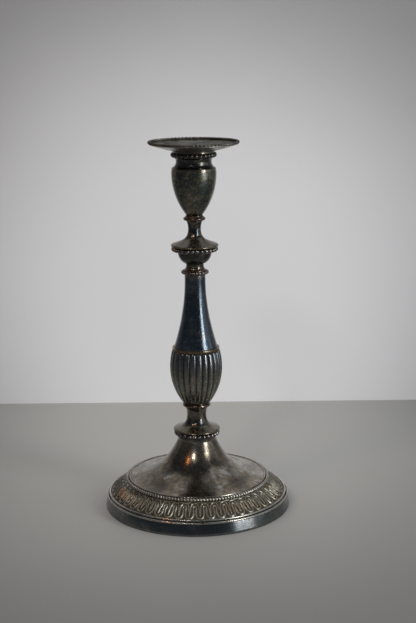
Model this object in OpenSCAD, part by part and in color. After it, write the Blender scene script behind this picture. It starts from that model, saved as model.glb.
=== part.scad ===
// Table candlestick of silver-plated sheet: a loaded round foot, a stem built up
// from stamped sections on one tie rod, and a drip pan with its candle tube that
// lifts out of the socket. Origin: centre of the foot, on the table. +Z is up.

/* [Metal and fits] */
// Thickness of the stamped sheet
sheet = 0.8; // [0.6:0.1:1]
// Gap on the radius between the lift-out tube and its socket
slip = 0.35; // [0.3:0.05:0.4]
// Radius of the tie rod
rod_r = 2.5; // [2:0.1:2.6]

/* [Candle nozzle] */
// Radius of the hole that takes the candle
candle_r = 11.2; // [11:0.05:11.25]
// Depth of the hole that takes the candle
candle_depth = 25; // [20:1:28]
// Outer radius of the drip pan, beads included
pan_r = 33.4; // [31:0.1:36]
// Rise of the drip pan from its seat to its edge
pan_rise = 4.8; // [4:0.1:6]
// Beads round the drip pan
pan_beads = 74; // [60:1:80]

/* [Sconce] */
// Radius of the sconce's narrow neck
neck_r = 13; // [12.9:0.05:13.4]
// Height of the neck, from the shoulder to the seat of the pan
neck_h = 14.4; // [13.5:0.1:16]
// Radius of the bowl at its shoulder
bowl_r = 16.4; // [16.2:0.1:18]
// Height of the bowl
bowl_h = 32.6; // [30:0.2:40]

/* [Upper knop and collar] */
// Height of the ring under the bowl
bowl_ring_h = 3.8; // [3.4:0.1:4.4]
// Height of the spool on top of the upper knop
upper_spool_h = 19.3; // [16:0.2:24]
// Height of the cup below the upper knop
upper_cup_h = 14.7; // [14:0.1:20]
// Height of the beaded collar at the top of the shaft
collar_h = 6.4; // [6:0.1:8]

/* [Shaft and bulb] */
// Height of the plain shaft above the bulb's lip
shaft_h = 54.5; // [45:0.5:70]
// Radius of the shaft at its top
shaft_top_r = 7.7; // [7:0.1:8.4]
// Widest radius of the fluted bulb
bulb_r = 19.6; // [18:0.1:22]
// Height of the fluted bulb
bulb_h = 43.2; // [40:0.2:46]
// Radius of the bulb's curve, seen from the side
bulb_curve_r = 46; // [42:0.5:50]
// Height of the ring under the bulb
bulb_ring_h = 2.8; // [2.6:0.1:3.4]

/* [Lower knop] */
// Height of the spool on top of the lower knop
lower_spool_h = 18.6; // [16:0.2:24]
// Height of the beaded collar under the lower knop
lower_collar_h = 6.4; // [6.2:0.1:7]
// Radius of both knops, beads included
knop_r = 17.6; // [17.2:0.1:19]
// Beads round each knop and round the sconce
knop_beads = 28; // [22:1:29]

/* [Foot] */
// Outer radius of the foot
foot_r = 70.1; // [68:0.1:76]
// Height of the foot's dome above the table
dome_h = 52; // [46:0.5:60]
// Height of the dome's outer edge above the table
dome_edge_h = 22.8; // [21:0.1:25]
// Height of the foot's upright wall
wall_h = 8.4; // [7:0.1:9]

/* [Hidden] */
$fn = 96;

// Sections stand on each other, so each one's foot is the sum of those below.
collar_low_z = dome_h;
lower_spool_z = collar_low_z + lower_collar_h;
bulb_ring_z = lower_spool_z + lower_spool_h;
bulb_z = bulb_ring_z + bulb_ring_h;
lip_z = bulb_z + bulb_h;
collar_z = lip_z + shaft_h;
cup_z = collar_z + collar_h;
upper_spool_z = cup_z + upper_cup_h;
bowl_ring_z = upper_spool_z + upper_spool_h;
bowl_z = bowl_ring_z + bowl_ring_h;
shoulder_z = bowl_z + bowl_h;
seat_z = shoulder_z + neck_h;

rod_gap = 0.3;
rod_hole_r = rod_r + rod_gap;
tube_wall = 0.55;
tube_r = candle_r + tube_wall;
socket_wall = 0.4;
socket_r = tube_r + slip;
neck_gap = 0.05;
neck_bore_r = socket_r + socket_wall + neck_gap;
past = 1;

pan_bead_r = 1.1;
pan_ring_r = pan_r - pan_bead_r;
pan_ring_z = seat_z + pan_rise + pan_bead_r + 0.2;
sconce_bead_r = 1.9;
sconce_ring_r = neck_r + 2.05;
sconce_ring_z = seat_z - 2.9;
knop_bead_r = 1.7;
knop_ring_r = knop_r - 0.2 - knop_bead_r;
collar_bead_r = 1.35;
collar_ring_r = shaft_top_r + 1.25;
collar_ring_z = collar_z + 2.1;
collar_beads = 24;
foot_wire_r = 1.3;
foot_wire_ring_r = foot_r - 16.8;
foot_wire_z = dome_edge_h - foot_wire_r;
reed_r = 0.75;
// [radius, height] of the inner and the outer reed on the foot's edge
reeds = [[foot_r - 3.5, wall_h + 2.5], [foot_r - 1.65, wall_h + 1.1]];

nut_flats = 8;
nut_h = 4;
low_washer_r = 7;
top_washer_r = 4;
washer_h = 1.2;
rod_low_z = 12;
rod_end = 2;
bowl_floor = 1.2;
felt_h = 1.2;
base_r = foot_r - 2.2;

silver = [0.42, 0.42, 0.43];
dark_silver = [0.2, 0.2, 0.23];
copper = [0.55, 0.36, 0.24];
steel = [0.45, 0.46, 0.48];
plaster = [0.75, 0.72, 0.65];
baize = [0.16, 0.27, 0.2];

// A smooth curve from a to c that leaves and arrives along the lines to b.
function bend(a, b, c, steps = 10) =
  [for (i = [0:steps]) let (t = i / steps) (1 - t) ^ 2 * a + 2 * t * (1 - t) * b + t ^ 2 * c];

// An outline that runs downwards, moved towards the axis by the wall's thickness.
function inset(line, wall) = [
  for (i = [0:len(line) - 1])
    let (last = len(line) - 1, run = line[min(i + 1, last)] - line[max(i - 1, 0)])
    line[i] + wall * [run.y, -run.x] / norm(run)
];

function backwards(line) = [for (i = [len(line) - 1:-1:0]) line[i]];

// The same, with both ends squared off level with the outline's own ends.
function level_inset(line, wall) =
  let (inner = inset(line, wall), last = len(line) - 1)
  concat([[inner[0].x, line[0].y]], [for (i = [1:last - 1]) inner[i]], [[inner[last].x, line[last].y]]);

// A thin wall between an outline and its inset.
function thin_wall(line, wall = sheet) = concat(line, backwards(level_inset(line, wall)));

module turned(outline) {
  rotate_extrude() polygon(outline);
}

module torus(ring_r, wire_r) {
  rotate_extrude() translate([ring_r, 0]) circle(wire_r, $fn = 32);
}

// A flat disc with the rod's hole.
module rod_disc(r, h) {
  difference() {
    cylinder(r = r, h = h);
    translate([0, 0, -past]) cylinder(r = rod_hole_r, h = h + 2 * past);
  }
}

// Beading wire: a ring of round beads on a thinner core.
module beading(ring_r, bead_r, count) {
  core_share = 0.7;
  torus(ring_r, core_share * bead_r);
  for (i = [0:count - 1]) rotate([0, 0, (i + 0.5) * 360 / count])
    translate([ring_r, 0, 0]) sphere(bead_r, $fn = 24);
}

// ---- lift-out nozzle ----

module nozzle_tube() {
  color(dark_silver) translate([0, 0, seat_z + sheet - candle_depth])
    difference() {
      translate([0, 0, -tube_wall]) cylinder(r = tube_r, h = candle_depth + tube_wall);
      cylinder(r = candle_r, h = candle_depth + past);
    }
}

module drip_pan() {
  underside = concat(
    [[tube_r, 0]],
    bend([socket_r + 2.5, 0], [socket_r + 8.5, 0.8], [pan_r - 0.8, pan_rise])
  );
  upperside = [for (p = backwards(underside)) p + [0, sheet]];
  color(silver) difference() {
    translate([0, 0, seat_z]) turned(concat(underside, upperside));
    translate([0, 0, pan_ring_z]) torus(pan_ring_r, pan_bead_r);
  }
}

module drip_pan_beading() {
  color(silver) translate([0, 0, pan_ring_z]) beading(pan_ring_r, pan_bead_r, pan_beads);
}

// ---- sconce ----

module sconce_socket() {
  below_tube = 1.2;
  floor_z = seat_z + sheet - candle_depth - tube_wall - below_tube;
  flange_r = socket_r + 3;
  color(dark_silver) difference() {
    union() {
      translate([0, 0, floor_z]) cylinder(r = socket_r + socket_wall, h = seat_z - floor_z);
      translate([0, 0, seat_z - socket_wall]) cylinder(r = flange_r, h = socket_wall);
    }
    translate([0, 0, floor_z + socket_wall]) cylinder(r = socket_r, h = neck_h + bowl_h);
  }
}

module sconce_neck() {
  top = neck_h - socket_wall;
  flange_r = socket_r + 3.1;
  outline = concat(
    [[neck_bore_r, top], [flange_r, top], [flange_r, top - 0.9], [neck_r + 1.6, top - 1.3]],
    bend([neck_r + 1.7, top - 4], [neck_r, top - 5.4], [neck_r, top - 7.4]),
    bend([neck_r, top - 7.4], [neck_r, top - 10], [neck_r + 2.2, top - 11.4]),
    [[bowl_r - 0.2, 2], [bowl_r - 0.1, 0], [neck_bore_r, 0]]
  );
  color(dark_silver) difference() {
    translate([0, 0, shoulder_z]) turned(outline);
    translate([0, 0, sconce_ring_z]) torus(sconce_ring_r, sconce_bead_r);
  }
}

module sconce_beading() {
  color(dark_silver) translate([0, 0, sconce_ring_z]) beading(sconce_ring_r, sconce_bead_r, knop_beads);
}

module sconce_bowl() {
  outline = bend([bowl_r, bowl_h], [bowl_r + 0.5, bowl_h * 0.45], [5.8, 0], 18);
  color(dark_silver) translate([0, 0, bowl_z]) {
    turned(thin_wall(outline));
    rod_disc(5.4, bowl_floor);
  }
}

module bowl_foot_ring() {
  bulge = 1.25;
  color(copper) translate([0, 0, bowl_ring_z]) difference() {
    union() {
      cylinder(r = 6.3, h = bowl_ring_h);
      translate([0, 0, bulge + 0.1]) torus(6.9, bulge);
    }
    translate([0, 0, -past]) cylinder(r = rod_hole_r, h = bowl_ring_h + 2 * past);
  }
}

// ---- knops ----

// Concave spool that flares down to a disc with a rounded brim; waist_r is its narrowest radius.
module knop_spool(h, top_r, waist_r, waist_z, flare_r, flare_z) {
  brim_r = knop_r - 0.3;
  brim_h = 2;
  seat_r = knop_ring_r - 1.5;
  outline = concat(
    bend([top_r, h], [waist_r, h - 2.6], [waist_r, waist_z], 8),
    bend([waist_r, waist_z], [waist_r, flare_z + 2.2], [flare_r, flare_z], 12),
    bend([flare_r, flare_z], [brim_r - 2.8, brim_h + 0.7], [brim_r - 0.7, brim_h], 5)
  );
  brim = bend([brim_r - 0.7, brim_h], [brim_r + 1.3, brim_h / 2], [brim_r - 0.7, 0], 6);
  inner = [for (p = level_inset(outline, sheet)) if (p.x < seat_r) p];
  turned(concat(outline, brim, [[seat_r, 0]], backwards(inner)));
}

module upper_knop_spool() {
  color(dark_silver) translate([0, 0, upper_spool_z])
    knop_spool(upper_spool_h, 6.2, 4.7, 13, 10.6, 4.2);
}

module lower_knop_spool() {
  color(dark_silver) translate([0, 0, lower_spool_z])
    knop_spool(lower_spool_h, 8.8, 7.2, 12, 12.2, 3.4);
}

module upper_knop_beading() {
  color(dark_silver) translate([0, 0, upper_spool_z - knop_bead_r])
    beading(knop_ring_r, knop_bead_r, knop_beads);
}

module lower_knop_beading() {
  color(dark_silver) translate([0, 0, lower_spool_z - knop_bead_r])
    beading(knop_ring_r, knop_bead_r, knop_beads);
}

module upper_knop_cup() {
  seat_r = knop_ring_r - 1.2;
  under_beads = upper_cup_h - 4.2;
  outline = concat(
    [[seat_r, upper_cup_h], [seat_r, under_beads + 2], [12.6, under_beads]],
    bend([12.6, under_beads], [12, 5.2], [8.2, 2.8]),
    [[6.5, 2], [6.5, 0]]
  );
  hollow = concat(
    [[0, upper_cup_h + past], [11.6, upper_cup_h + past], [11.6, under_beads]],
    bend([11.6, under_beads], [11, 5.8], [7.4, 3.7]),
    [[5.6, 2.6], [0, 2.6]]
  );
  color(dark_silver) translate([0, 0, cup_z]) difference() {
    turned(concat(outline, [[0, 0], [0, upper_cup_h]]));
    turned(hollow);
    translate([0, 0, upper_cup_h - knop_bead_r]) torus(knop_ring_r, knop_bead_r);
    translate([0, 0, -past]) cylinder(r = rod_hole_r, h = upper_cup_h);
  }
}

module lower_knop_collar() {
  seat_r = knop_ring_r - 1.2;
  wall = 3;
  outline = [
    [seat_r, lower_collar_h], [seat_r, lower_collar_h - 2], [dome_top_r, lower_collar_h - 3.4],
    [dome_top_r, 0], [dome_top_r - wall, 0], [dome_top_r - wall, lower_collar_h]
  ];
  color(dark_silver) translate([0, 0, collar_low_z]) difference() {
    turned(outline);
    translate([0, 0, lower_collar_h - knop_bead_r]) torus(knop_ring_r, knop_bead_r);
  }
}

module collar_ring() {
  bead_z = collar_ring_z - collar_z;
  outline = concat(
    [[rod_hole_r, collar_h]],
    bend([6.6, collar_h], [6.9, collar_h - 2], [8.3, collar_h - 2.4], 5),
    [[8.3, bead_z], [shaft_top_r, 0.9], [shaft_top_r, 0], [rod_hole_r, 0]]
  );
  color(copper) translate([0, 0, collar_z]) difference() {
    turned(outline);
    translate([0, 0, bead_z]) torus(collar_ring_r, collar_bead_r);
  }
}

module collar_beading() {
  color(dark_silver) translate([0, 0, collar_ring_z]) beading(collar_ring_r, collar_bead_r, collar_beads);
}

// ---- shaft and bulb ----

// Radius of the bulb's outline at a height above its foot.
bulb_widest_z = 28.2;
function bulb_at(z) = bulb_r - bulb_curve_r + sqrt(bulb_curve_r ^ 2 - (z - bulb_widest_z) ^ 2);
lip_h = 1.6;
lip_wall = 0.7;

module stem_shaft() {
  foot_r_in_lip = bulb_at(bulb_h) - lip_wall - 0.2;
  outline = concat(
    [[shaft_top_r, shaft_h]],
    bend([shaft_top_r, shaft_h - 5], [shaft_top_r + 0.3, 26], [foot_r_in_lip - 0.1, 0.6], 20),
    [[foot_r_in_lip, -lip_h]]
  );
  color(dark_silver) translate([0, 0, lip_z]) turned(thin_wall(outline));
}

// The bulb's outside is an arc turned about the axis, between two heights.
module bulb_solid(curve_r, low_z, high_z) {
  rotate_extrude() intersection() {
    translate([bulb_r - bulb_curve_r, bulb_widest_z]) circle(curve_r, $fn = 180);
    translate([0, low_z]) square([bulb_r + 1, high_z - low_z]);
  }
}

// The flutes are shallow, so the solid keeps the plain outline of their crests.
module fluted_bulb() {
  plate = 1.2;
  top_z = bulb_h - lip_h;
  color(dark_silver) translate([0, 0, bulb_z]) difference() {
    bulb_solid(bulb_curve_r, 0, top_z);
    bulb_solid(bulb_curve_r - sheet, plate, top_z - plate);
    translate([0, 0, -past]) cylinder(r = rod_hole_r, h = bulb_h);
  }
}

// Plain wire ring round the bulb's top, which the shaft stands in.
module bulb_lip() {
  outer_r = bulb_at(bulb_h - lip_h / 2) + 0.3;
  inner_r = bulb_at(bulb_h) - lip_wall;
  color(dark_silver) translate([0, 0, lip_z - lip_h]) difference() {
    cylinder(r = outer_r, h = lip_h);
    translate([0, 0, -past]) cylinder(r = inner_r, h = lip_h + 2 * past);
  }
}

module bulb_base_ring() {
  bulge = 1.2;
  color(copper) translate([0, 0, bulb_ring_z]) difference() {
    union() {
      cylinder(r = 9.3, h = bulb_ring_h);
      translate([0, 0, bulge + 0.1]) torus(9.3, bulge);
    }
    translate([0, 0, -past]) cylinder(r = rod_hole_r, h = bulb_ring_h + 2 * past);
  }
}

// ---- foot ----

// The dome's outside, from the flat under the lower knop to the edge by the bead wire.
dome_top_r = 14.2;
dome_edge_r = foot_wire_ring_r - foot_wire_r;
dome_slope =
  bend([dome_top_r, dome_h], [24.2, dome_edge_h + 4], [dome_edge_r - 1.1, dome_edge_h], 22);
dome_inside = [for (p = inset(dome_slope, sheet)) if (p.y < dome_h - sheet) p];

module foot_dome() {
  edge_foot_z = border_high.y;
  raised_edge = bend(
    [dome_edge_r - 1, dome_edge_h + 0.1], [dome_edge_r - 0.2, dome_edge_h + 0.8],
    [dome_edge_r, dome_edge_h - 0.2], 4
  );
  outline = concat(
    [[0, dome_h]], dome_slope, raised_edge,
    [[dome_edge_r, edge_foot_z], [dome_edge_r - sheet, edge_foot_z], [dome_edge_r - sheet, dome_edge_h - sheet]],
    backwards(dome_inside),
    [[dome_top_r - sheet, dome_h - sheet], [0, dome_h - sheet]]
  );
  color(silver) difference() {
    turned(outline);
    translate([0, 0, dome_h - sheet - past]) cylinder(r = rod_hole_r, h = sheet + 2 * past);
  }
}

module foot_bead_wire() {
  color(silver) translate([0, 0, foot_wire_z]) torus(foot_wire_ring_r, foot_wire_r);
}

// The sloping band that carries the struck ornament, and the shelf under the wire.
border_low = [foot_r - 4.4, wall_h + 2.4];
border_high = [foot_wire_ring_r + 1.1, foot_wire_z - foot_wire_r + 0.1];
module foot_border() {
  upperside = [[dome_edge_r, border_high.y], border_high, border_low];
  underside = [for (p = backwards(upperside)) p - [0, 1.2]];
  color(silver) difference() {
    turned(concat(upperside, underside));
    translate([0, 0, foot_wire_z]) torus(foot_wire_ring_r, foot_wire_r);
    translate([0, 0, reeds[0].y]) torus(reeds[0].x, reed_r);
  }
}

module foot_rim() {
  wall = 1;
  outline = concat(
    [border_low - [0, 1.2], [border_low.x, border_low.y - 0.4]],
    [[foot_r - 1.1, wall_h], [foot_r - 0.7, 2.4]],
    bend([foot_r - 0.6, 2], [foot_r, 0.8], [foot_r - 0.2, 0], 5),
    [[foot_r - 0.4 - wall, 0], [foot_r - 0.7 - wall, 2.4], [foot_r - 1.1 - wall, wall_h - 1.2]]
  );
  color(silver) difference() {
    turned(outline);
    for (reed = reeds) translate([0, 0, reed.y]) torus(reed.x, reed_r);
  }
}

module rim_reeds() {
  color(silver) for (reed = reeds) translate([0, 0, reed.y]) torus(reed.x, reed_r);
}

// ---- inside and underneath ----

top_washer_z = bowl_z + bowl_floor;
rod_top_z = top_washer_z + washer_h + nut_h + rod_end;
low_washer_z = rod_low_z + rod_end + nut_h;

module tie_rod() {
  color(steel) translate([0, 0, rod_low_z]) cylinder(r = rod_r, h = rod_top_z - rod_low_z);
}

module rod_nuts() {
  flats_to_corners = 1 / cos(30);
  thread_gap = 0.05;
  color(steel) for (z = [low_washer_z - nut_h, top_washer_z + washer_h]) translate([0, 0, z])
    difference() {
      cylinder(d = nut_flats * flats_to_corners, h = nut_h, $fn = 6);
      translate([0, 0, -past]) cylinder(r = rod_r + thread_gap, h = nut_h + 2 * past);
    }
}

module rod_washers() {
  color(steel) {
    translate([0, 0, low_washer_z]) rod_disc(low_washer_r, washer_h);
    translate([0, 0, top_washer_z]) rod_disc(top_washer_r, washer_h);
  }
}

// Pitch and plaster poured into the foot, which keeps the candlestick upright.
module loading_fill() {
  low_z = 3;
  gap = 0.2;
  top_z = dome_h - sheet - gap;
  slope = [for (p = inset(dome_slope, sheet + gap)) if (p.y < top_z - 1 && p.x < dome_edge_r - 4) p];
  outline = concat(
    [[0, top_z], [dome_top_r - 1.4, top_z]],
    slope,
    [[dome_edge_r - 3, low_z + 12], [foot_r - 10, low_z + 4], [foot_r - 4, low_z], [0, low_z]]
  );
  color(plaster) difference() {
    turned(outline);
    translate([0, 0, low_z - past]) cylinder(r = rod_hole_r, h = dome_h);
    translate([0, 0, low_z - past])
      cylinder(r = low_washer_r + 1, h = low_washer_z + washer_h - low_z + past);
  }
}

module base_plate() {
  color(steel) translate([0, 0, felt_h]) cylinder(r = base_r, h = sheet);
}

module base_felt() {
  color(baize) cylinder(r = base_r, h = felt_h);
}

drip_pan();
drip_pan_beading();
nozzle_tube();
sconce_socket();
sconce_neck();
sconce_beading();
sconce_bowl();
bowl_foot_ring();
upper_knop_spool();
upper_knop_beading();
upper_knop_cup();
collar_ring();
collar_beading();
stem_shaft();
bulb_lip();
fluted_bulb();
bulb_base_ring();
lower_knop_spool();
lower_knop_beading();
lower_knop_collar();
foot_dome();
foot_bead_wire();
foot_border();
foot_rim();
rim_reeds();
tie_rod();
rod_nuts();
rod_washers();
loading_fill();
base_plate();
base_felt();
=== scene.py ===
from math import cos, hypot, pi, radians, sin

import bpy
import numpy as np
from mathutils import Matrix, Vector


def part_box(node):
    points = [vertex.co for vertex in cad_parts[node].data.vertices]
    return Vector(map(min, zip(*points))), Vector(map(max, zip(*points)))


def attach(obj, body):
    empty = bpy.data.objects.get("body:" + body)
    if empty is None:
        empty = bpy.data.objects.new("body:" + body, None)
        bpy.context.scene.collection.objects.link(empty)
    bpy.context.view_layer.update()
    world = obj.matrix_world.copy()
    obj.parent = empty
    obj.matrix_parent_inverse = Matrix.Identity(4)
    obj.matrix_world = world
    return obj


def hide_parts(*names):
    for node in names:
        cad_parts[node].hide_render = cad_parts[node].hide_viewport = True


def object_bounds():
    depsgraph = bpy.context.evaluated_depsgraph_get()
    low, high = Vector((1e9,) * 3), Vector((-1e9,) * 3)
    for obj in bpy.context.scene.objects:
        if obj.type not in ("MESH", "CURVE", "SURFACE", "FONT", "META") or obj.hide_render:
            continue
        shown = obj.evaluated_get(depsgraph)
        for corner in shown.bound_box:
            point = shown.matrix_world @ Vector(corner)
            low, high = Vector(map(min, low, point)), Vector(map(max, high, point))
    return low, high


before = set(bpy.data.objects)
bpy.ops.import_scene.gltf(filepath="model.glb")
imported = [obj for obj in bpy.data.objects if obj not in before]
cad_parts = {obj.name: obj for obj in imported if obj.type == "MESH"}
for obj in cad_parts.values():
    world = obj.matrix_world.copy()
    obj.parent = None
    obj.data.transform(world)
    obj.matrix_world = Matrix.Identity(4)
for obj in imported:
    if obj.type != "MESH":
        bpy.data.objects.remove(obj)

cad_low, cad_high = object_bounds()


# ---- Studio ----
# The candlestick stands on a pale painted table against a pale wall, both darkened away from it by
# painted shade. Two tall strip lamps, a low lamp and a dim panel light it from the right, two small
# lamps and a soft fill from the left, and a wide soft panel from above and behind.

class Field:
    """A value or colour that varies over a surface; operators on it add Math nodes."""

    def __init__(self, tree, socket):
        self.tree = tree
        self.socket = socket

    def node(self, kind, settings=(), sockets=(), out=0):
        """Adds a node of any type: its settings first, then the values or links of its sockets."""
        made = self.tree.nodes.new(kind)
        for name, value in dict(settings).items():
            setattr(made, name, value)
        for name, value in dict(sockets).items():
            if isinstance(value, Field):
                self.tree.links.new(value.socket, made.inputs[name])
            else:
                made.inputs[name].default_value = value
        return Field(self.tree, made.outputs[out])

    def math(self, operation, *values):
        return self.node("ShaderNodeMath", {"operation": operation}, enumerate(values))

    def __add__(self, other):
        return self.math("ADD", self, other)

    def __radd__(self, other):
        return self.math("ADD", other, self)

    def __sub__(self, other):
        return self.math("SUBTRACT", self, other)

    def __rsub__(self, other):
        return self.math("SUBTRACT", other, self)

    def __mul__(self, other):
        return self.math("MULTIPLY", self, other)

    def __rmul__(self, other):
        return self.math("MULTIPLY", other, self)

    def ramp(self, start, end):
        """0 below start, 1 above end, and a smooth step between them."""
        return self.node(
            "ShaderNodeMapRange", {"interpolation_type": "SMOOTHSTEP"},
            {"Value": self, "From Min": start, "From Max": end},
        )

    def tint(self, low, high):
        """The colour low where this value is 0, high where it is 1."""
        colours = {6: low, 7: high}
        for place, colour in colours.items():
            if not isinstance(colour, Field):
                colours[place] = (*colour, 1)
        return self.node("ShaderNodeMix", {"data_type": "RGBA"}, {0: self, **colours}, out=2)

    def noise(self, size, detail=4, rough=0.55, warp=0.0):
        """Cloudy noise at this place, whose clouds are about size metres across."""
        return self.node("ShaderNodeTexNoise", {}, {
            "Vector": self, "Scale": 1 / size, "Detail": detail, "Roughness": rough,
            "Distortion": warp})

    def stretched(self, x, y, z):
        """This place with each axis scaled, so that a pattern on it is drawn out."""
        return self.node("ShaderNodeMapping", {}, {"Vector": self, "Scale": (x, y, z)})


def surface_of(name):
    """A new material, its Principled shader and the place that its patterns follow."""
    material = bpy.data.materials.new(name)
    material.use_nodes = True
    tree = material.node_tree
    shader = tree.nodes["Principled BSDF"]
    here = Field(tree, tree.nodes.new("ShaderNodeTexCoord").outputs["Object"])
    return material, shader, here


def feed(shader, **sockets):
    """Sets or links sockets of a shader, named with underscores for spaces."""
    for name, value in sockets.items():
        socket = shader.inputs[name.replace("_", " ")]
        if isinstance(value, Field):
            value.tree.links.new(value.socket, socket)
        elif hasattr(value, "__len__"):
            socket.default_value = (*value, 1)
        else:
            socket.default_value = value


table_half = 3.0
wall_y = 0.268
wall_top = 0.41


def stage_panel(name, corners, material):
    """A flat four-cornered piece of the surroundings."""
    mesh = bpy.data.meshes.new(name)
    mesh.from_pydata(corners, [], [(0, 1, 2, 3)])
    mesh.materials.append(material)
    panel = bpy.data.objects.new(name, mesh)
    bpy.context.collection.objects.link(panel)


def painted_light_pool(here, middle, start, end, pale, shaded_colour):
    """Painted shade: the pale colour round a middle point, deepening from start to end metres away."""
    away = here.node(
        "ShaderNodeVectorMath", {"operation": "DISTANCE"}, {0: here, 1: middle}, out=1)
    cloud = here.noise(0.3, 3)
    return (away + (cloud - 0.5) * 0.04).ramp(start, end).tint(pale, shaded_colour)


# Both the table and the wall darken away from the candlestick: a painted pool of light and shade.
table_paint_and_shade, shader, here = surface_of("table_paint_and_shade")
grain = here.noise(0.004, 2)
feed(
    shader,
    Base_Color=painted_light_pool(
        here.stretched(1.6, 1, 1), (0, 0.25, 0), 0.12, 0.56, (0.44, 0.44, 0.42), (0.16, 0.16, 0.152)),
    Roughness=0.62 + grain * 0.08,
    Normal=grain.node("ShaderNodeBump", {}, {"Height": grain, "Strength": 0.2, "Distance": 0.0002}),
)
wall_paint_and_shade, shader, here = surface_of("wall_paint_and_shade")
feed(
    shader,
    Base_Color=painted_light_pool(
        here, (0, wall_y, 0.10), 0.10, 0.36, (0.80, 0.81, 0.83), (0.28, 0.282, 0.288)),
    Roughness=0.9,
)
# The wall is seen from its front only, so that the candlestick can be looked at from behind.
tree = wall_paint_and_shade.node_tree
from_behind = Field(tree, tree.nodes.new("ShaderNodeNewGeometry").outputs["Backfacing"])
front_only = from_behind.node("ShaderNodeMixShader", {}, {
    0: from_behind,
    1: Field(tree, shader.outputs[0]),
    2: Field(tree, tree.nodes.new("ShaderNodeBsdfTransparent").outputs[0]),
})
tree.links.new(front_only.socket, tree.nodes["Material Output"].inputs["Surface"])

stage_panel("table_top", [
    (-table_half, -table_half, 0), (table_half, -table_half, 0),
    (table_half, table_half, 0), (-table_half, table_half, 0)], table_paint_and_shade)
stage_panel("wall", [
    (-table_half, wall_y, 0), (table_half, wall_y, 0),
    (table_half, wall_y, wall_top), (-table_half, wall_y, wall_top)], wall_paint_and_shade)

aim = (cad_low + cad_high) / 2


def lamp(name, azimuth, elevation, distance, width, height, power, colour, mirrored=True):
    """A flat lamp that faces the candlestick; azimuth 0 is the camera's side and 90 its right."""
    side, rise = radians(azimuth), radians(elevation)
    away = Vector((sin(side) * cos(rise), -cos(side) * cos(rise), sin(rise)))
    light = bpy.data.lights.new(name, "AREA")
    light.shape = "RECTANGLE"
    light.size = width
    light.size_y = height
    light.energy = power
    light.color = colour
    holder = bpy.data.objects.new(name, light)
    holder.location = aim + away * distance
    holder.rotation_euler = away.to_track_quat("Z", "Y").to_euler()
    holder.visible_camera = False
    holder.visible_glossy = mirrored
    bpy.context.collection.objects.link(holder)


lamp("near_strip", 49, 18.5, 1.2, 0.08, 0.81, 2.7, (1.0, 0.985, 0.96))
lamp("far_strip", 57, 18.5, 1.2, 0.08, 0.81, 2.7, (0.95, 0.98, 1.0))
lamp("low_strip", 58, -3.5, 1.2, 0.5, 0.13, 0.42, (0.97, 0.99, 1.0))
lamp("dim_right_panel", 78, 10, 1.5, 2.0, 1.2, 3.2, (0.88, 0.95, 1.0))
lamp("small_white_lamp", -18, 42, 1.3, 0.12, 0.12, 1.3, (1.0, 0.98, 0.96))
lamp("small_warm_lamp", -46, 46, 1.3, 0.09, 0.09, 0.9, (1.0, 0.40, 0.13))
lamp("overhead_panel", 165, 67, 1.45, 2.4, 1.3, 4.2, (0.98, 0.99, 1.0))
lamp("soft_fill", -35, 38, 2.0, 1.2, 1.2, 8.6, (1.0, 1.0, 0.99), mirrored=False)

room = bpy.data.worlds.new("room")
bpy.context.scene.world = room
room.use_nodes = True
tree = room.node_tree
# The plate mirrors a darker room than the one that lights it.
mirrored = Field(tree, tree.nodes.new("ShaderNodeLightPath").outputs["Is Glossy Ray"])
feed(tree.nodes["Background"], Color=mirrored.tint((0.40, 0.40, 0.41), (0.068, 0.078, 0.090)))

lens = 75
film_width = 36
eye = Vector((0.0093, -0.940, 0.3596))
look_down = radians(12.6)
lean = radians(-0.565)
camera = bpy.data.objects.new("camera", bpy.data.cameras.new("camera"))
camera.data.lens = lens
camera.data.sensor_width = film_width
camera.matrix_world = (
    Matrix.Translation(eye) @ Matrix.Rotation(pi / 2 - look_down, 4, "X")
    @ Matrix.Rotation(lean, 4, "Z"))
bpy.context.collection.objects.link(camera)
bpy.context.scene.camera = camera
bpy.context.scene.view_settings.view_transform = "Standard"


# ---- Pad and base plate ----
# A disc of tinned sheet closes the foot and holds the loading in. A disc of woven green
# baize is glued under it, so that the candlestick doesn't scratch the table.

mm = 0.001


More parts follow.
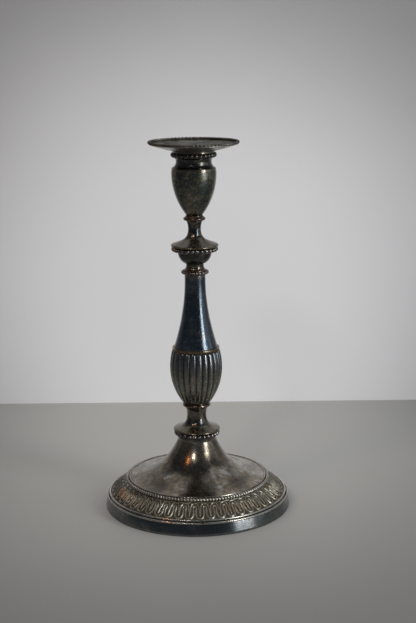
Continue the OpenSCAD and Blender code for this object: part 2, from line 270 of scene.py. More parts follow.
def skin(name, points, edge, closed=True):
    """A mesh over a grid of points [row, column], whose columns run all the way round.

    Its rows run round too if it is closed. Square (i, j) joins point (i, j) with its neighbours, and
    a row's points on the axis are one vertex. A point's normal is the cross product of the grid's
    two directions there. edge is kept at each point as an attribute.
    """
    rows, columns = points.shape[:2]
    index = np.arange(rows * columns).reshape(rows, columns)
    on_axis = np.hypot(points[..., 0], points[..., 1]) < 1e-7
    index = np.where(on_axis, index[:, :1], index)
    quads = np.stack([
        index, np.roll(index, -1, 1), np.roll(index, (-1, -1), (0, 1)), np.roll(index, -1, 0)], -1)
    if not closed:
        quads = quads[:-1]
    quads = quads.reshape(-1, 4)
    kept = quads != np.roll(quads, 1, 1)
    used, corners = np.unique(quads[kept], return_inverse=True)
    sides = kept.sum(1)
    around = np.roll(points, -1, 1) - np.roll(points, 1, 1)
    along = np.roll(points, -1, 0) - np.roll(points, 1, 0)
    if not closed:
        along[0] = points[1] - points[0]
        along[-1] = points[-1] - points[-2]
        around[0] = np.where(on_axis[:1, :, None], around[1], around[0])
        around[-1] = np.where(on_axis[-1:, :, None], around[-2], around[-1])
    normals = np.cross(around, along).reshape(-1, 3)[used]
    normals /= np.linalg.norm(normals, axis=1, keepdims=True)

    mesh = bpy.data.meshes.new(name)
    mesh.vertices.add(len(used))
    mesh.vertices.foreach_set("co", points.reshape(-1, 3)[used].ravel())
    mesh.loops.add(len(corners))
    mesh.loops.foreach_set("vertex_index", corners.ravel())
    mesh.polygons.add(len(quads))
    mesh.polygons.foreach_set("loop_start", np.concatenate([[0], np.cumsum(sides)[:-1]]))
    mesh.update(calc_edges=True)
    mesh.shade_smooth()
    mesh.normals_split_custom_set_from_vertices(normals)
    mark = mesh.attributes.new("edge", "FLOAT", "POINT")
    mark.data.foreach_set("value", np.broadcast_to(edge, (rows, columns)).ravel()[used])
    piece = bpy.data.objects.new(name, mesh)
    bpy.context.collection.objects.link(piece)
    return piece


def blended(start, corner, end, t):
    """The point a share t along the curve that leaves start towards corner and arrives at end."""
    return (1 - t) ** 2 * start + 2 * t * (1 - t) * corner + t ** 2 * end


def bend(start, corner, end, steps):
    """A smooth curve from start to end that leaves and arrives along the lines to the corner."""
    t = np.linspace(0, 1, steps + 1)[:, None]
    return blended(np.array(start), np.array(corner), np.array(end), t)


def line_of(*parts):
    """One outline from points and curves, in order."""
    return np.vstack([np.atleast_2d(part) for part in parts])


def eased(outline, reach):
    """The outline with each corner rounded: a curve starts and ends at most reach from it."""
    before = np.roll(outline, 1, 0) - outline
    after = np.roll(outline, -1, 0) - outline
    start = outline + before * np.minimum(0.5, reach / np.hypot(*before.T))[:, None]
    end = outline + after * np.minimum(0.5, reach / np.hypot(*after.T))[:, None]
    t = np.array([0, 0.33, 0.67, 1])[None, :, None]
    return blended(start[:, None], outline[:, None], end[:, None], t).reshape(-1, 2)


def bend_of(outline):
    """How sharply a closed outline turns near each point: 1 is a sharp edge, -1 an inner corner."""
    reach = 0.6
    loop = np.vstack([outline, outline[:1]])
    length = np.concatenate([[0], np.cumsum(np.hypot(*np.diff(loop, axis=0).T))])
    ways = []
    for shift in (-reach, 0, reach):
        at = (length[:-1] + shift) % length[-1]
        ways.append(np.stack([
            np.interp(at, length, loop[:, 0]), np.interp(at, length, loop[:, 1])], 1))
    back, ahead = ways[1] - ways[0], ways[2] - ways[1]
    return (back[:, 0] * ahead[:, 1] - back[:, 1] * ahead[:, 0]) / reach ** 2


def turned(name, outline, foot, turns=144, ease=0.15):
    """A piece turned on a lathe: each point (r, z) of the outline goes round the axis.

    x is r cos a and y is r sin a, with r and z in millimetres and z from the foot. The outline is
    closed, along the axis if it ends there. edge is how sharply the outline turns.
    """
    on_axis = outline[0, 0] == 0
    across = np.roll(outline, -1, 0)
    if (outline[:, 0] * across[:, 1] - across[:, 0] * outline[:, 1]).sum() < 0:
        outline = outline[::-1]
    rounded = eased(outline, ease)
    if on_axis:
        rounded = line_of(outline[0], rounded[4:-4], outline[-1])
    outline = rounded
    edge = np.clip(bend_of(outline), -1, 1)
    angle = np.arange(turns) * 2 * pi / turns
    r, z = outline[:, :1] * mm, outline[:, 1:] * mm + foot
    points = np.stack([r * np.cos(angle), r * np.sin(angle), z + 0 * angle], -1)
    return skin(name, points, edge[:, None], closed=not on_axis)


def measured(node):
    """A node's foot in metres, and its height and radius in millimetres."""
    low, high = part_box(node)
    return low.z, (high.z - low.z) / mm, high.x / mm


sheet = 0.8


def inset(line):
    """A line that runs downwards, moved inwards by the sheet's thickness and level at the top."""
    way = np.gradient(line, axis=0)
    inside = line + sheet * np.stack([way[:, 1], -way[:, 0]], 1) / np.hypot(*way.T)[:, None]
    inside[0, 1] = line[0, 1]
    return inside


def walled(line):
    """A closed outline of a stamped wall: the line and its inset, level at both ends."""
    inside = inset(line)
    inside[-1, 1] = line[-1, 1]
    return line_of(line, inside[::-1])


def dress(node, material):
    """Gives a solid that keeps its own shape a better finish."""
    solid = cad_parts[node]
    solid.data.materials.clear()
    solid.data.materials.append(material)


baize, shader, here = surface_of("baize")
weave = here.node("ShaderNodeTexVoronoi", {}, {"Vector": here, "Scale": 1400, "Randomness": 0.6})
nap = here.noise(0.006, 5, 0.7)
feed(
    shader, Base_Color=nap.ramp(0.3, 0.7).tint((0.022, 0.065, 0.036), (0.045, 0.115, 0.066)),
    Roughness=0.95, Sheen_Weight=0.35,
    Normal=weave.node("ShaderNodeBump", {}, {"Height": weave + nap, "Strength": 0.5, "Distance": 0.0003}),
)
foot, height, radius = measured("base_felt")
cut_edge = 0.5
pad_outline = line_of(
    (0, 0), (radius * 0.5, 0), (radius - cut_edge, 0), (radius, cut_edge), (radius - 0.1, height),
    (0, height))
pad = turned("baize_pad", pad_outline, foot, 240)
pad.data.materials.append(baize)
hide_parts("base_felt")
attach(pad, "stick")

tinned, shader, here = surface_of("tinned_sheet")
spangle = here.node("ShaderNodeTexVoronoi", {}, {"Vector": here, "Scale": 160})
feed(shader, Base_Color=spangle.ramp(0, 0.7).tint((0.42, 0.42, 0.41), (0.55, 0.55, 0.54)),
     Metallic=1.0, Roughness=0.3 + here.noise(0.003) * 0.25)
dress("base_plate", tinned)


# ---- Foot rim ----
# The upright wall of the foot is struck from plated sheet. Its lower edge is rolled, and two
# fine plain wires, the reeds, are soldered one inside the other round its upper edge.

dull_scale = (0.18, 0.17, 0.12)
old_polish = (0.046, 0.036, 0.022)


def plated(name, silver, film, black, cover=0.5, blotch=0.012, shine=0.16, dull=0.38,
           worn=(0.6, 0.57, 0.52), wear=0.5, grime=0.8, streaks=0.0, settle=0.0, flecks=0.0,
           depth=0.00003):
    """Silver plate with tarnish: a brownish film and black blotches over bright silver.

    Clouds of blotch metres, broken up by finer ones, choose between silver, film and black, and
    cover moves the balance towards black. Flecks of dull scale lie on it. Cover and flecks may be
    ((z, value), (z, value)) to change with height. Outer edges are rubbed down to the worn colour,
    inner corners hold grime, and film settles on what faces up.
    """
    material, shader, here = surface_of(name)

    def varied(amount):
        """The amount as it is, or one that changes from one height to another to paint shade by height.
        """
        if not isinstance(amount, tuple):
            return amount
        (low_z, low), (high_z, high) = amount
        height = here.node("ShaderNodeSeparateXYZ", {}, {0: here}, out=2)
        shade_height = height + (here.noise(0.006) - 0.5) * 0.012
        return low + (high - low) * shade_height.ramp(low_z, high_z)

    cover = varied(cover)
    scale = here.noise(0.0018, 4, 0.7, 0.5).ramp(0.52, 0.62) * varied(flecks)
    clouds = here.noise(blotch, 3, 0.5, 0.6)
    mottle = here.noise(blotch * 0.16, 5, 0.68, 0.4)
    speck = here.noise(0.0009, 2, 0.6)
    blend = clouds * 0.55 + mottle * 0.45 + (cover - 0.5) * 0.4
    if streaks:
        drawn = here.stretched(1, 1, 0.05).noise(0.0016, 3, 0.6)
        blend = blend + (drawn - 0.5) * streaks
    faces_up = here.node("ShaderNodeSeparateXYZ", {}, {
        0: here.node("ShaderNodeNewGeometry", out=1)}, out=2).ramp(0.45, 0.9) * settle
    filmed = blend.ramp(0.38, 0.50)
    blackened = blend.ramp(0.47, 0.60) * (1 - faces_up * 0.8)
    spots = speck.ramp(0.56, 0.66)
    edge = here.node("ShaderNodeAttribute", {"attribute_name": "edge"}, out=2)
    rubbed = (edge + (mottle - 0.5) * 2.2).ramp(0.35, 0.85) * wear
    dirt = (edge * -1 + (mottle - 0.5) * 0.8).ramp(0.1, 0.7) * grime
    colour = filmed.tint(silver, film)
    colour = blackened.tint(colour, black)
    colour = (spots * 0.5).tint(colour, tuple(0.4 * part for part in film))
    colour = scale.tint(colour, dull_scale)
    colour = rubbed.tint(colour, worn)
    colour = dirt.tint(colour, old_polish)
    polish = shine + (dull - shine) * (filmed * 0.4 + spots * 0.6) + mottle * 0.05
    crust = dirt.math("MAXIMUM", dirt * 0.6, scale * 0.45)
    feed(
        shader, Base_Color=colour, Metallic=1 - crust,
        Roughness=polish + dirt * 0.25 + faces_up * 0.1 + scale * 0.15,
        Normal=here.node("ShaderNodeBump", {}, {
            "Height": mottle * 0.7 + speck * 0.5 - spots * 0.5, "Strength": 1.0, "Distance": depth}),
    )
    return material


def fit(piece, material, body, slot, *nodes):
    """Gives a piece its finish, and stands it for its nodes on a body."""
    piece.data.materials.append(material)
    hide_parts(*nodes)
    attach(piece, body)


rim_silver = plated(
    "rim_silver", (0.55, 0.54, 0.51), (0.36, 0.33, 0.27), (0.17, 0.16, 0.16),
    cover=0.5, blotch=0.016, shine=0.12, dull=0.30, worn=(0.66, 0.64, 0.59), wear=0.6)
rim_wall = plated(
    "rim_wall_silver", (0.28, 0.295, 0.31), (0.19, 0.19, 0.18), (0.125, 0.14, 0.15),
    cover=0.60, blotch=0.012, shine=0.10, dull=0.20, worn=(0.26, 0.26, 0.25), wear=0.3, depth=0.00001)

foot, _, radius = measured("foot_rim")
wall_top_z = 8.4
rolled_z = 2.2
shelf_r = 65.7
rim_outline = line_of(
    (shelf_r, 9.6), (shelf_r, 10.4),
    bend((radius - 1.85, wall_top_z), (radius - 1.0, 5.2), (radius - 0.3, rolled_z), 8),
    bend((radius - 0.2, 1.8), (radius, 0.8), (radius - 0.2, 0), 6),
    (radius - 1.4, 0), (radius - 1.7, rolled_z + 0.2), (radius - 2.8, wall_top_z - 1.2))
fit(turned("rim_wall", rim_outline, foot, 300), rim_wall, "stick", "rim_silver", "foot_rim")

foot, height, radius = measured("rim_reeds")
reed_r = 0.75
reed_low_r = radius - reed_r
reed_high_r = reed_low_r - 1.85


def wire_outline(ring_r, wire_r, z):
    """A round wire's section: r is ring_r + wire_r cos t and z is its middle's plus wire_r sin t."""
    sides = 20
    turn = np.arange(sides) * 2 * pi / sides
    return np.stack([ring_r + wire_r * np.cos(turn), z + wire_r * np.sin(turn)], 1)


reeds = (("lower_reed", reed_low_r, reed_r), ("upper_reed", reed_high_r, height - reed_r))
for name, ring_r, z in reeds:
    reed = turned(name, wire_outline(ring_r, reed_r, z), foot, 300)
    fit(reed, rim_silver, "stick", "rim_silver", "rim_reeds")


# ---- Struck border ----
# The sloping band inside the reeds is die-struck with fifty tongues: two nested lines in
# relief on a sunk, stippled ground, bright on top and full of old polish in between.

border_low = np.array([shelf_r, 10.8])
border_high = np.array([54.4, 20.3])
dome_seat_r = 52.1
plate_depth = 1.3
tongues = 50
tongue_columns = 32
tongue_rows = 44
first_tongue = radians(-90 + 1.8)


def softened(points):
    """A smooth line near a few points: each stretch runs from mid-side to mid-side round a point."""
    points = np.array(points, float)
    middles = (points[:-1] + points[1:]) / 2
    starts = np.vstack([points[:1], middles])
    ends = np.vstack([middles, points[-1:]])
    t = np.linspace(0, 1, 7)[None, :, None]
    return blended(starts[:, None], points[:, None], ends[:, None], t).reshape(-1, 2)


def ridge_distance(across, down, line, slope):
    """Distance in millimetres from a grid's points to a line on the flattened band.

    Both are given as (turn in tongues, share of the slope from its top).
    """
    def flat(turn, share):
        r = border_high[0] + share * (border_low[0] - border_high[0])
        return turn * 2 * pi * r / tongues, share * slope

    gx, gy = flat(across, down)
    lx, ly = flat(line[:, 0], line[:, 1])
    return np.hypot(gx[..., None] - lx, gy[..., None] - ly).min(-1)


slope = hypot(*(border_high - border_low))
turn = np.linspace(0, 0.5, tongue_columns // 2 + 1)
share = np.linspace(0, 1, tongue_rows)
across, down = np.meshgrid(turn, share)
outer_line = softened([
    (-0.12, 0.885), (0.10, 0.905), (0.28, 0.84), (0.385, 0.66), (0.38, 0.44), (0.33, 0.30),
    (0.40, 0.22), (0.6, 0.22)])
inner_line = softened([
    (0, 0.72), (0.02, 0.60), (0.055, 0.48), (0.075, 0.34), (0.12, 0.20), (0.28, 0.075),
    (0.5, 0.055), (0.6, 0.055)])
crest = 0.75
sunk = 0.42


def ridge(away, half_width, height):
    """A rounded ridge: full height on its line and a smooth fall to nothing at its half width."""
    t = np.clip(1 - away / half_width, 0, 1)
    return height * t * t * (3 - 2 * t)


relief = np.maximum(
    ridge(ridge_distance(across, down, outer_line, slope), 1.2, crest),
    ridge(ridge_distance(across, down, inner_line, slope), 0.95, 0.70))
relief = np.maximum(relief, ridge(np.abs(down - 1) * slope, 0.9, 0.5))
relief = np.maximum(relief, ridge(np.abs(down) * slope, 0.8, 0.4))
half = relief[:, :-1]
period = np.hstack([half, relief[:, -1:], half[:, :0:-1]])
relief = np.tile(period, (1, tongues))
columns = relief.shape[1]
angle = first_tongue + np.arange(columns) * 2 * pi / columns
out_of_slope = np.array([border_high[1] - border_low[1], border_low[0] - border_high[0]]) / slope
band = border_high + share[:, None] * (border_low - border_high)
rise = relief[..., None] - sunk
outline = band[:, None] + rise * out_of_slope
under = np.array([
    border_low + (-0.1, -plate_depth), border_high + (-0.1, -plate_depth),
    (dome_seat_r, border_high[1] - plate_depth), (dome_seat_r, border_high[1]),
    border_high + (-0.6, 0.0)])
outline = np.concatenate([outline, under[:, None] + np.zeros((1, columns, 1))], 0)
edge = np.concatenate([relief / crest * 1.8 - 0.85, np.zeros((len(under), columns))], 0)
r, z = outline[..., 0] * mm, outline[..., 1] * mm
points = np.stack([r * np.cos(angle), r * np.sin(angle), z], -1)
border = skin("struck_border", points[::-1], edge[::-1])
border_silver = plated(
    "border_silver", (0.36, 0.345, 0.29), (0.26, 0.23, 0.165), (0.15, 0.13, 0.09),
    cover=0.40, blotch=0.014,
    shine=0.30, dull=0.42, worn=(0.45, 0.44, 0.38), wear=0.75, grime=0.97, depth=0.000012)
fit(border, border_silver, "stick", "rim_silver", "foot_border")


# ---- Bead wire ----
# A ring of fine bead wire, pressed with close-set slanting beads, hides the joint
# between the border and the dome.

def beading(name, ring_r, z, bead_r, count, along=10, around=14, neck=0.62, slant=0.0):
    """A wire of beads round the axis, in millimetres.

    It is a tube whose radius at s from a bead's middle is sqrt(bead_r^2 - s^2), and never less than
    neck times bead_r. Samples crowd towards the necks. slant turns the beads' sides.
    """
    half_pitch = pi * ring_r / count
    step = np.sin(np.linspace(-1, 1, along + 1)[:-1] * pi / 2) * half_pitch
    tube = np.sqrt(np.maximum(bead_r ** 2 - step ** 2, (neck * bead_r) ** 2))
    tube = np.tile(tube, count)
    middle = (np.arange(count) + 0.5) * 2 * pi / count
    angle = (middle[:, None] + step / ring_r).ravel()
    turn = np.arange(around)[:, None] * 2 * pi / around
    r = ring_r + tube * np.cos(turn)
    height = z + tube * np.sin(turn)
    angle = angle + slant * np.cos(turn) * 2 * pi / count
    points = np.stack([r * np.cos(angle), r * np.sin(angle), height], -1) * mm
    return skin(name, points, (tube / bead_r - neck) / (1 - neck) * 1.7 - 0.9)


foot, height, radius = measured("foot_bead_wire")
wire_r = height / 2
wire = beading("foot_bead_wire_beads", radius - wire_r, foot / mm + wire_r, wire_r, 146,
               along=8, around=10, neck=0.7, slant=0.22)
wire_silver = plated(
    "wire_silver", (0.60, 0.58, 0.53), (0.42, 0.39, 0.32), (0.22, 0.20, 0.16), cover=0.4,
    shine=0.24, dull=0.36, worn=(0.74, 0.72, 0.66), wear=0.9, grime=0.97, depth=0.00001)
fit(wire, wire_silver, "stick", "rim_silver", "foot_bead_wire")


# ---- Dome and loading ----
# The dome is spun from sheet and burnished; its film of tarnish has gone grey and brown.
# Pitch and plaster fill it and keep the candlestick upright.

_, _, radius = measured("foot_dome")
edge_z = 22.8
skirt_z = edge_z - 2.3
dome_top_z = 52
dome_top_r = 14.2
slope_line = bend((dome_top_r, dome_top_z), (24.2, edge_z + 4), (radius - 1.1, edge_z), 40)
raised_edge = bend(
    (radius - 1, edge_z + 0.1), (radius - 0.2, edge_z + 0.8), (radius, edge_z - 0.2), 5)
under_top_z = dome_top_z - sheet
inside = inset(slope_line)
inside = inside[inside[:, 1] < under_top_z]
dome_outline = line_of(
    (0, dome_top_z), slope_line, raised_edge, (radius, skirt_z), (radius - sheet, skirt_z),
    (radius - sheet, edge_z - sheet), inside[::-1], (dome_top_r - sheet, under_top_z),
    (0, under_top_z))
dome = turned("foot_dome_shell", dome_outline, 0.0, 240, ease=0.2)
dome_silver = plated(
    "dome_silver", (0.42, 0.41, 0.39), (0.26, 0.215, 0.155), (0.12, 0.108, 0.095),
    cover=0.52, blotch=0.020,
    shine=0.12, dull=0.26, worn=(0.5, 0.46, 0.40), wear=0.4, flecks=0.12, depth=0.000012)
fit(dome, dome_silver, "stick", "foot_silver", "foot_dome")

pitch, shader, here = surface_of("pitch")
crumb = here.noise(0.002, 6, 0.7)
feed(shader, Base_Color=crumb.ramp(0.35, 0.65).tint((0.03, 0.024, 0.02), (0.22, 0.19, 0.15)),
     Roughness=0.8,
     Normal=crumb.node("ShaderNodeBump", {}, {"Height": crumb, "Strength": 0.6, "Distance": 0.0004}))
dress("loading_fill", pitch)


# ---- Lower knop ----
# A flaring spool ends in a disc with a ring of round beads under its brim, and stands on a
# short plain collar. All three are struck from sheet and blackened by tarnish.

black_silver = plated(
    "black_silver", (0.20, 0.20, 0.19), (0.12, 0.115, 0.095), (0.065, 0.070, 0.077),
    cover=0.64, blotch=0.011, shine=0.07, dull=0.24, worn=(0.34, 0.29, 0.22), wear=0.6, flecks=0.3)
disc_silver = plated(
    "disc_silver", (0.27, 0.265, 0.24), (0.20, 0.175, 0.13), (0.065, 0.072, 0.08),
    cover=0.62, blotch=0.008,
    shine=0.07, dull=0.24, worn=(0.38, 0.29, 0.18), wear=0.6, settle=0.9, flecks=0.3)
bead_silver = plated(
    "bead_silver", (0.46, 0.45, 0.45), (0.23, 0.205, 0.185), (0.085, 0.083, 0.095),
    cover=0.56, blotch=0.008, shine=0.08, dull=0.24, worn=(0.52, 0.50, 0.50), wear=0.4, grime=0.97)

knop_beads = 28


def knop_spool(height, disc_r, top_r, waist_r, waist_z, flare_r, flare_z):
    """Outline of a hollow spool: in to its waist, out to a disc, and round the disc's brim."""
    brim_r = disc_r - 1
    brim_h = 2
    seat_r = disc_r - 3.4
    line = line_of(
        bend((top_r, height), (waist_r, height - 2.6), (waist_r, waist_z), 10),
        bend((waist_r, waist_z), (waist_r, flare_z + 2.2), (flare_r, flare_z), 16)[1:],
        bend((flare_r, flare_z), (disc_r - 3.1, brim_h + 0.7), (brim_r, brim_h), 8)[1:])
    brim = bend((brim_r, brim_h), (disc_r + 1, brim_h / 2), (brim_r, 0), 8)[1:]
    inside = inset(line)
    return line_of(line, brim, (seat_r, 0), inside[inside[:, 0] < seat_r][::-1])


def knop_parts(level, spool_sizes):
    """The spool of a knop and the beads under its brim."""
    foot, height, radius = measured(level + "_knop_spool")
    spool = turned(level + "_spool", knop_spool(height, radius, *spool_sizes), foot)
    fit(spool, disc_silver, "stick", "tarnished_silver", level + "_knop_spool")
    foot, height, radius = measured(level + "_knop_beading")
    bead_r = height / 2
    beads = beading(level + "_knop_beads", radius - bead_r, foot / mm + bead_r, bead_r, knop_beads,
                    along=14, around=20, neck=0.5)
    fit(beads, bead_silver, "stick", "tarnished_silver", level + "_knop_beading")


knop_parts("lower", (8.8, 7.2, 12, 12.2, 3.4))
foot, height, radius = measured("lower_knop_collar")
collar_bore_r = 11.2
collar_outline = line_of(
    (radius, height), (radius, height - 2), (dome_top_r, height - 3.4), (dome_top_r, 0),
    (collar_bore_r, 0), (collar_bore_r, height))
collar = turned("lower_collar", collar_outline, foot)
fit(collar, black_silver, "stick", "tarnished_silver", "lower_knop_collar")


# ---- Fluted bulb ----
# The bulb is raised from sheet in twenty-four round-ended lobes with sharp grooves between
# them. A half-round ring stands under it, and a plain wire round its top takes the shaft.

lobes = 24
lobe_columns = 14
lobe_rows = 90
curve_r = 46
widest_z = 28.2
lobe_depth = 1.45
lobe_end = 2.3
low_centre = 1.9
bulb_bore_r = 5
rod_hole_r = 2.8

foot, height, radius = measured("fluted_bulb")


def bulb_at(z):
    """Radius of the bulb's outline over the lobes' crests: an arc of curve_r, widest at widest_z."""
    return radius - curve_r + np.sqrt(curve_r ** 2 - (z - widest_z) ** 2)


def lobed(z, place):
    """Radius at a height and at a place across a lobe, from -1 in one groove to 1 in the next.

    A lobe is a half round, lobe_depth high at the bulb's widest. Past the centres of its round ends
    the distance to its middle line counts the height too.
    """
    half_width = pi * bulb_at(z) / lobes
    past_end = np.maximum(0, np.maximum(z - (height - lobe_end), low_centre - z))
    past_end = past_end / np.minimum(half_width, lobe_end)
    away = np.minimum(np.hypot(place, past_end), 1)
    drop = 1 - np.sqrt(1 - away ** 2)
    return bulb_at(z) - lobe_depth * bulb_at(z) / radius * drop, drop


levels = height / 2 - height / 2 * np.cos(np.linspace(0, pi, lobe_rows))
place = np.sin(np.linspace(-1, 1, lobe_columns + 1)[:-1] * pi / 2)
z, across = np.meshgrid(levels, np.tile(place, lobes), indexing="ij")
r, drop = lobed(z, across)
angle = radians(-90) + ((np.arange(lobes) + 0.5)[:, None] + place / 2).ravel() * 2 * pi / lobes
cap = np.ones((1, len(angle)))
r = np.concatenate([bulb_bore_r * cap, r, (r[-1:].min() - 1) * cap, bulb_bore_r * cap])
z = np.concatenate([0 * cap, z, height * cap, height * cap])
drop = np.concatenate([cap, drop, cap, cap])
points = np.stack([r * mm * np.cos(angle), r * mm * np.sin(angle), z * mm + foot], -1)
bulb = skin("lobed_bulb", points, 0.8 - 2.2 * drop)
# The tarnish and the flecks of scale are the plate's own, but the tarnish grows blacker and the flecks
# fewer towards the top: painted reflection, dark above where the lobes face the dark room, and paler
# below where they face the table and foot.
bulb_silver = plated(
    "bulb_silver", (0.34, 0.33, 0.26), (0.18, 0.17, 0.12), (0.120, 0.136, 0.158),
    cover=((foot + 0.018, 0.58), (foot + 0.032, 0.86)), blotch=0.005,
    shine=0.08, dull=0.30, worn=(0.36, 0.36, 0.32), wear=0.5, grime=0.97,
    flecks=((foot + 0.016, 0.9), (foot + 0.033, 0.12)))
fit(bulb, bulb_silver, "stick", "tarnished_silver", "fluted_bulb")

worn_copper = plated(
    "worn_copper", (0.22, 0.205, 0.19), (0.17, 0.125, 0.09), (0.075, 0.066, 0.062),
    cover=0.56, blotch=0.006, shine=0.10, dull=0.30, worn=(0.36, 0.215, 0.13), wear=0.5)


def half_round_ring(name, node, core_r, bulge, low):
    """A plain ring: a core with a half-round bulge near its foot."""
    foot, height, radius = measured(node)
    angles = np.linspace(-pi / 2, pi / 2, 13)
    round_part = np.stack([
        radius - bulge + bulge * np.cos(angles), low + bulge + bulge * np.sin(angles)], 1)
    outline = line_of(
        (rod_hole_r, 0), (core_r, 0), round_part, (core_r, height - 0.3), (core_r, height),
        (rod_hole_r, height))
    fit(turned(name, outline, foot), worn_copper, "stick", "worn_copper", node)


half_round_ring("bulb_ring", "bulb_base_ring", 9.3, 1.2, 0.1)
foot, height, radius = measured("bulb_lip")
lip_bore_r = radius - 1.4
lip_outline = line_of(
    (lip_bore_r, 0), (radius - 0.4, 0),
    bend((radius - 0.2, 0), (radius + 0.1, height / 2), (radius - 0.2, height), 6),
    (lip_bore_r, height))
lip = turned("bulb_lip_wire", lip_outline, foot)
lip_silver = plated(
    "lip_silver", (0.28, 0.24, 0.18), (0.21, 0.155, 0.095), (0.09, 0.078, 0.065),
    cover=0.52, blotch=0.005, worn=(0.40, 0.30, 0.17), wear=0.6)
fit(lip, lip_silver, "stick", "tarnished_silver", "bulb_lip")


# ---- Shaft ----
# The plain tapering shaft is spun in one piece and stands inside the bulb's lip. Its
# tarnish is nearly black with a blue cast, scuffed by upright wiping marks.

foot, height, radius = measured("stem_shaft")
lip_h = 1.6
shaft_top_r = 7.7
shaft_line = line_of(
    (shaft_top_r, height),
    bend((shaft_top_r, height - 5), (shaft_top_r + 0.3, 26 + lip_h), (radius - 0.1, 0.6 + lip_h), 36),
    (radius, 0))
shaft_silver = plated(
    "shaft_silver", (0.28, 0.30, 0.32), (0.16, 0.17, 0.175), (0.090, 0.112, 0.140),
    cover=0.72, blotch=0.010,
    shine=0.06, dull=0.24, worn=(0.4, 0.36, 0.30), wear=0.4, streaks=0.45, flecks=0.2)
fit(turned("shaft", walled(shaft_line), foot), shaft_silver, "stick", "tarnished_silver", "stem_shaft")


# ---- Beaded collar ----
# A coppery fillet and a ring of small beads cover the joint at the top of the shaft.

foot, height, radius = measured("collar_ring")
fillet_outline = line_of(
    (rod_hole_r, height), bend((6.6, height), (6.9, height - 2), (radius, height - 2.4), 8),
    (radius, 2.1), (shaft_top_r, 0.9), (shaft_top_r, 0), (rod_hole_r, 0))
fit(turned("collar_fillet", fillet_outline, foot), worn_copper, "stick", "worn_copper", "collar_ring")
foot, height, radius = measured("collar_beading")
bead_r = height / 2
beads = beading("collar_beads", radius - bead_r, foot / mm + bead_r, bead_r, 24, along=12, around=18)
fit(beads, bead_silver, "stick", "tarnished_silver", "collar_beading")


# ---- Upper knop ----
# The same disc and beads as the lower knop, under a slimmer spool and on a shallow cup.

knop_parts("upper", (6.2, 4.7, 13, 10.6, 4.2))
foot, height, radius = measured("upper_knop_cup")
under_beads = height - 4.2
cup_r = 12.6
cup_inside_r = 11.6
cup_foot_r = 6.5
cup_floor = 2.6
cup_outline = line_of(
    (radius, height), (radius, under_beads + 2), (cup_r, under_beads),
    bend((cup_r, under_beads), (12, 5.2), (8.2, 2.8), 14)[1:],
    (cup_foot_r, 2), (cup_foot_r, 0), (rod_hole_r, 0), (rod_hole_r, cup_floor), (5.6, cup_floor),
    bend((7.4, 3.7), (11, 5.8), (cup_inside_r, under_beads), 10), (cup_inside_r, height))
fit(turned("upper_cup", cup_outline, foot), black_silver, "stick", "tarnished_silver", "upper_knop_cup")


# ---- Sconce ----
# The urn-shaped bowl and the waisted neck above it are spun from sheet, with a ring of
# beads under the neck's rim. The socket inside it takes the lift-out nozzle.

half_round_ring("bowl_ring", "bowl_foot_ring", 6.3, 1.25, 0.1)
foot, height, radius = measured("sconce_bowl")
bowl_line = bend((radius, height), (radius + 0.5, height * 0.45), (5.8, 0), 36)
urn_silver = plated(
    "urn_silver", (0.28, 0.29, 0.265), (0.17, 0.165, 0.115), (0.08, 0.093, 0.100),
    cover=0.58, blotch=0.009, shine=0.13, dull=0.32, worn=(0.42, 0.34, 0.26), wear=0.7, flecks=0.5)
bowl_outline = line_of(walled(bowl_line)[:-1], (rod_hole_r, 1.2), (rod_hole_r, 0))
bowl = turned("urn_bowl", bowl_outline, foot)
fit(bowl, urn_silver, "stick", "tarnished_silver", "sconce_bowl")

foot, height, _ = measured("sconce_neck")
neck_r = 13
neck_rim_r = 15.2
waist_z = height - 7.4
shoulder_r = 16.4
bore_r = 12.55
neck_outline = line_of(
    (bore_r, height), (neck_rim_r, height), (neck_rim_r, height - 0.9), (neck_r + 1.6, height - 1.3),
    bend((neck_r + 1.7, height - 4), (neck_r, height - 5.4), (neck_r, waist_z), 10),
    bend((neck_r, waist_z), (neck_r, height - 10), (neck_r + 2.2, height - 11.4), 10)[1:],
    (shoulder_r - 0.2, 2), (shoulder_r - 0.1, 0), (bore_r, 0))
fit(turned("urn_neck", neck_outline, foot), black_silver, "stick", "tarnished_silver", "sconce_neck")
foot, height, radius = measured("sconce_beading")
bead_r = height / 2
beads = beading("urn_beads", radius - bead_r, foot / mm + bead_r, bead_r, knop_beads,
                along=14, around=20)
# The beads under the neck's rim get a darker copy of the bead finish: painted shade from the drip pan
# above them.
shaded_urn_bead_silver = plated(
    "shaded_urn_bead_silver", (0.20, 0.19, 0.18), (0.13, 0.115, 0.10), (0.06, 0.06, 0.066),
    cover=0.6, blotch=0.008, shine=0.10, dull=0.26, worn=(0.30, 0.27, 0.24), wear=0.3, grime=0.97)
fit(beads, shaded_urn_bead_silver, "stick", "tarnished_silver", "sconce_beading")

foot, height, radius = measured("sconce_socket")
socket_r = 12.1
socket_wall = 0.4
socket_outline = line_of(
    (0, 0), (socket_r + socket_wall, 0), (socket_r + socket_wall, height - socket_wall),
    (radius, height - socket_wall), (radius, height), (socket_r, height), (socket_r, socket_wall),
    (0, socket_wall))
dull_silver = plated(
    "dull_silver", (0.40, 0.385, 0.36), (0.26, 0.23, 0.19), (0.13, 0.12, 0.11), cover=0.5,
    shine=0.28, dull=0.5)
fit(turned("nozzle_socket", socket_outline, foot), dull_silver, "stick", "dull_silver", "sconce_socket")


# ---- Tie rod ----
# A steel rod runs through the whole stem; a nut and a washer at each end draw the pieces
# together. None of it shows from outside.

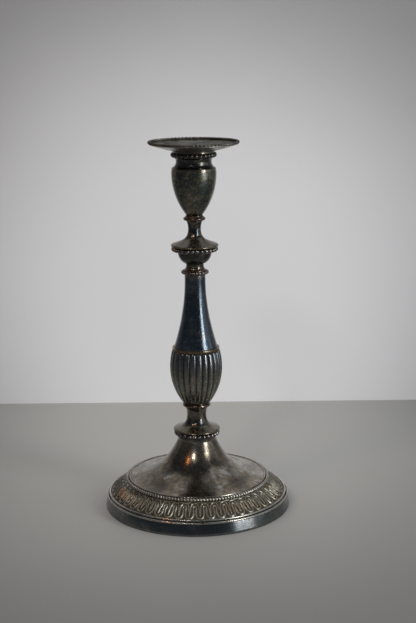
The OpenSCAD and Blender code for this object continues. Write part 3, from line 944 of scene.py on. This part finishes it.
steel, shader, here = surface_of("turned_steel")
turning = here.stretched(1, 1, 14).noise(0.004, 3)
feed(
    shader, Base_Color=here.noise(0.01).tint((0.36, 0.35, 0.34), (0.50, 0.50, 0.51)), Metallic=1.0,
    Roughness=0.28 + turning * 0.2,
    Normal=turning.node("ShaderNodeBump", {}, {"Height": turning, "Strength": 0.3, "Distance": 0.00005}),
)
for node in ("tie_rod", "rod_nuts", "rod_washers"):
    dress(node, steel)


# ---- Lift-out nozzle ----
# A plain tube holds the candle. A dished pan with a beaded edge is soldered round its top
# and catches the wax, and the two lift out of the socket together.

foot, height, radius = measured("nozzle_tube")
tube_wall = 0.55
tube_outline = line_of(
    (0, 0), (radius, 0), (radius, height), (radius - tube_wall, height),
    (radius - tube_wall, tube_wall), (0, tube_wall))
fit(turned("candle_tube", tube_outline, foot), dull_silver, "nozzle", "dull_silver", "nozzle_tube")

foot, _, radius = measured("drip_pan")
pan_rise = 4.8
pan_hole_r = 11.75
pan_flat_r = 14.6
pan_under = line_of((pan_hole_r, 0), bend((pan_flat_r, 0), (20.6, 0.8), (radius, pan_rise), 24))
pan_outline = line_of(pan_under, (pan_under + (0, sheet))[::-1])
pan_silver = plated(
    "pan_silver", (0.40, 0.40, 0.375), (0.28, 0.26, 0.215), (0.12, 0.12, 0.125),
    cover=0.48, blotch=0.010, shine=0.24, dull=0.46, worn=(0.36, 0.33, 0.28), wear=0.5, flecks=0.5)
fit(turned("pan", pan_outline, foot, 240), pan_silver, "nozzle", "foot_silver", "drip_pan")
foot, height, radius = measured("drip_pan_beading")
bead_r = height / 2
beads = beading("pan_beads", radius - bead_r, foot / mm + bead_r, bead_r, 74, around=12, neck=0.6)
pan_bead_silver = plated(
    "pan_bead_silver", (0.27, 0.26, 0.24), (0.17, 0.155, 0.13), (0.08, 0.08, 0.085),
    cover=0.52, blotch=0.008, shine=0.2, dull=0.4, worn=(0.36, 0.33, 0.29), wear=0.3, grime=0.75)
fit(beads, pan_bead_silver, "nozzle", "foot_silver", "drip_pan_beading")
